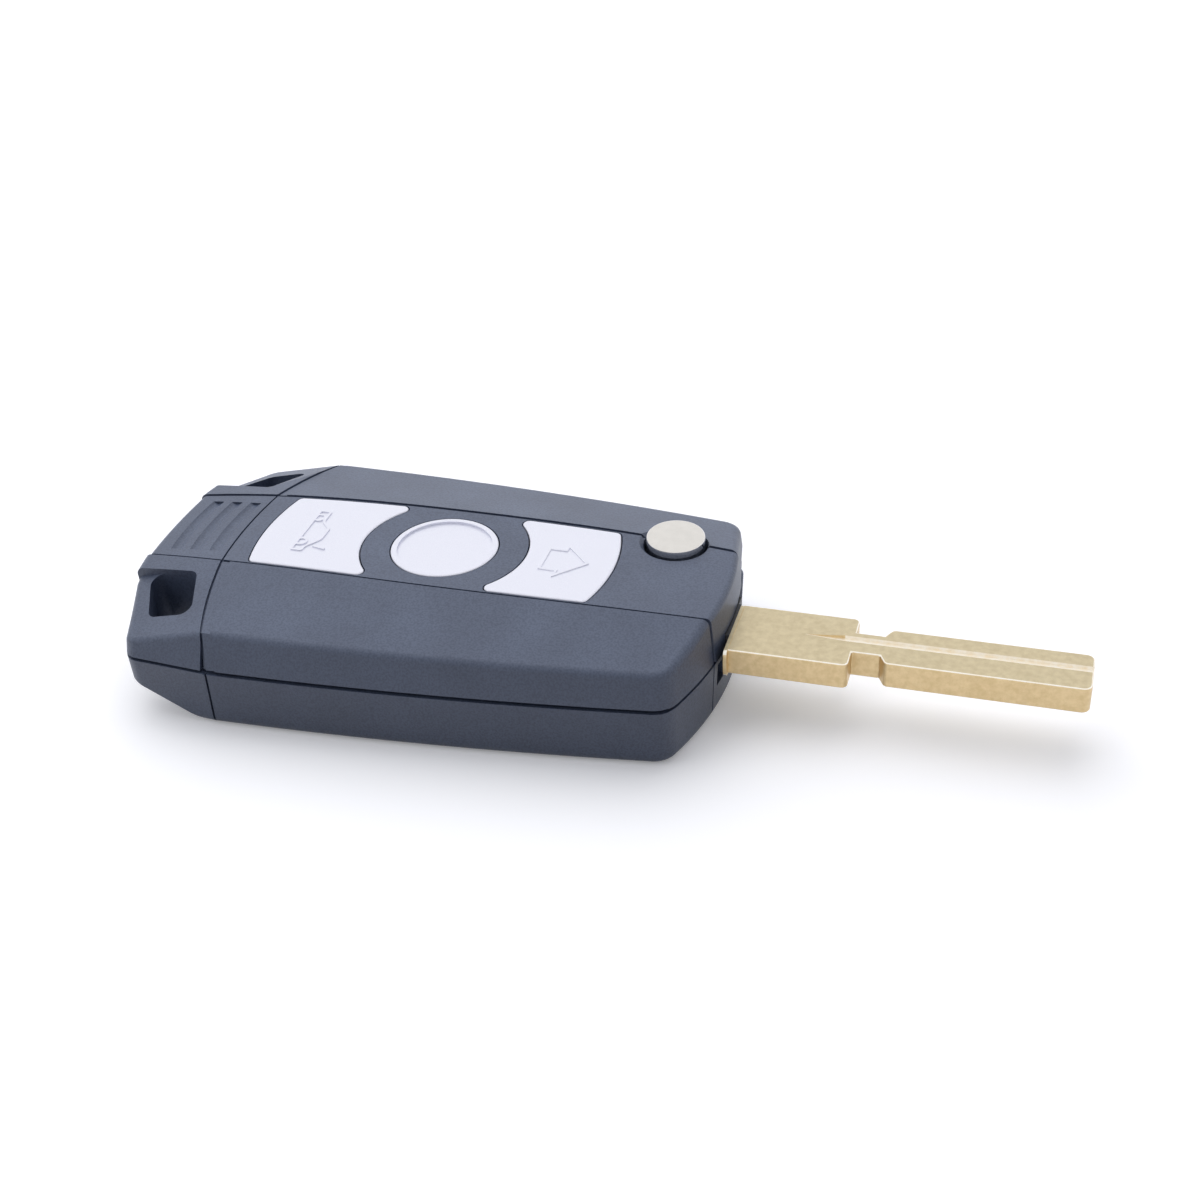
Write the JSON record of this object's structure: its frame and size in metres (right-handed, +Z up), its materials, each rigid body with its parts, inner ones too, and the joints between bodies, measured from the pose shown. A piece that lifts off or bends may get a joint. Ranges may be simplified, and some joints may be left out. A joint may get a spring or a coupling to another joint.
{
  "type": "flip key shell",
  "caption": "Folding car key shell: dark clamshell case with keyring eyes, swing-out brass blade, round release button and push buttons on a raised strip.",
  "frame": {"origin": "on the rest face under the case, on its long centre line and midway along the button strip", "axes": "+X towards the blade, +Z up from the rest face to the buttons, +Y towards the side that the blade folds into"},
  "size_m": [0.1137, 0.0446, 0.0154],
  "materials": {
    "case_plastic": "fine matte moulded texture, dark slate grey",
    "silver_paint": "satin silver paint on moulded plastic",
    "blade_brass": "milled, pale brass with bright edges",
    "bright_nickel": "polished nickel plate",
    "mat_rubber": "moulded silicone rubber",
    "inner_plastic": "plain moulded plastic",
    "head_metal": "die cast, dark grey",
    "spring_steel": "drawn spring wire",
    "screw_steel": "zinc plated",
    "bush_brass": "turned"
  },
  "bodies": {
    "case": {"upper_shell": "case_plastic", "lower_shell": "case_plastic", "case_screws": "screw_steel", "keypad_mat": "mat_rubber", "keypad_plate": "inner_plastic", "lock_ring": "screw_steel", "pivot_bush": "bush_brass", "thrust_washer": "screw_steel", "flip_spring": "spring_steel", "open_stop": "mat_rubber"},
    "blade_unit": {"blade_head": "head_metal", "key_blade": "blade_brass", "blade_pin": "spring_steel", "release_spring": "spring_steel"},
    "release_unit": {"release_button": "bright_nickel", "stem_washer": "screw_steel", "stem_screw": "screw_steel"},
    "boot_key": {"boot_button": "silver_paint"},
    "round_key": {"round_button": "silver_paint"},
    "lock_key": {"lock_button": "silver_paint"}
  },
  "joints": [
    {"name": "blade_flip", "type": "hinge", "parent": "case", "child": "blade_unit", "pos_m": [0.02775, 0.0076, 0.00775], "axis": [0, 0, 1], "range_deg": [0, 180], "stiffness_Nm_per_rad": 0.01, "springref_deg": -90},
    {"name": "release_press", "type": "slide", "parent": "blade_unit", "child": "release_unit", "axis": [0, 0, -1], "range_m": [0, 0.001], "stiffness_N_per_m": 600, "springref_m": -0.002, "deforming": ["release_spring"]},
    {"name": "boot_press", "type": "slide", "parent": "case", "child": "boot_key", "axis": [0, 0, -1], "range_m": [0, 0.0004], "stiffness_N_per_m": 1500, "springref_m": -0.0003},
    {"name": "round_press", "type": "slide", "parent": "case", "child": "round_key", "axis": [0, 0, -1], "range_m": [0, 0.0004], "stiffness_N_per_m": 1500, "springref_m": -0.0003},
    {"name": "lock_press", "type": "slide", "parent": "case", "child": "lock_key", "axis": [0, 0, -1], "range_m": [0, 0.0004], "stiffness_N_per_m": 1500, "springref_m": -0.0003}
  ]
}
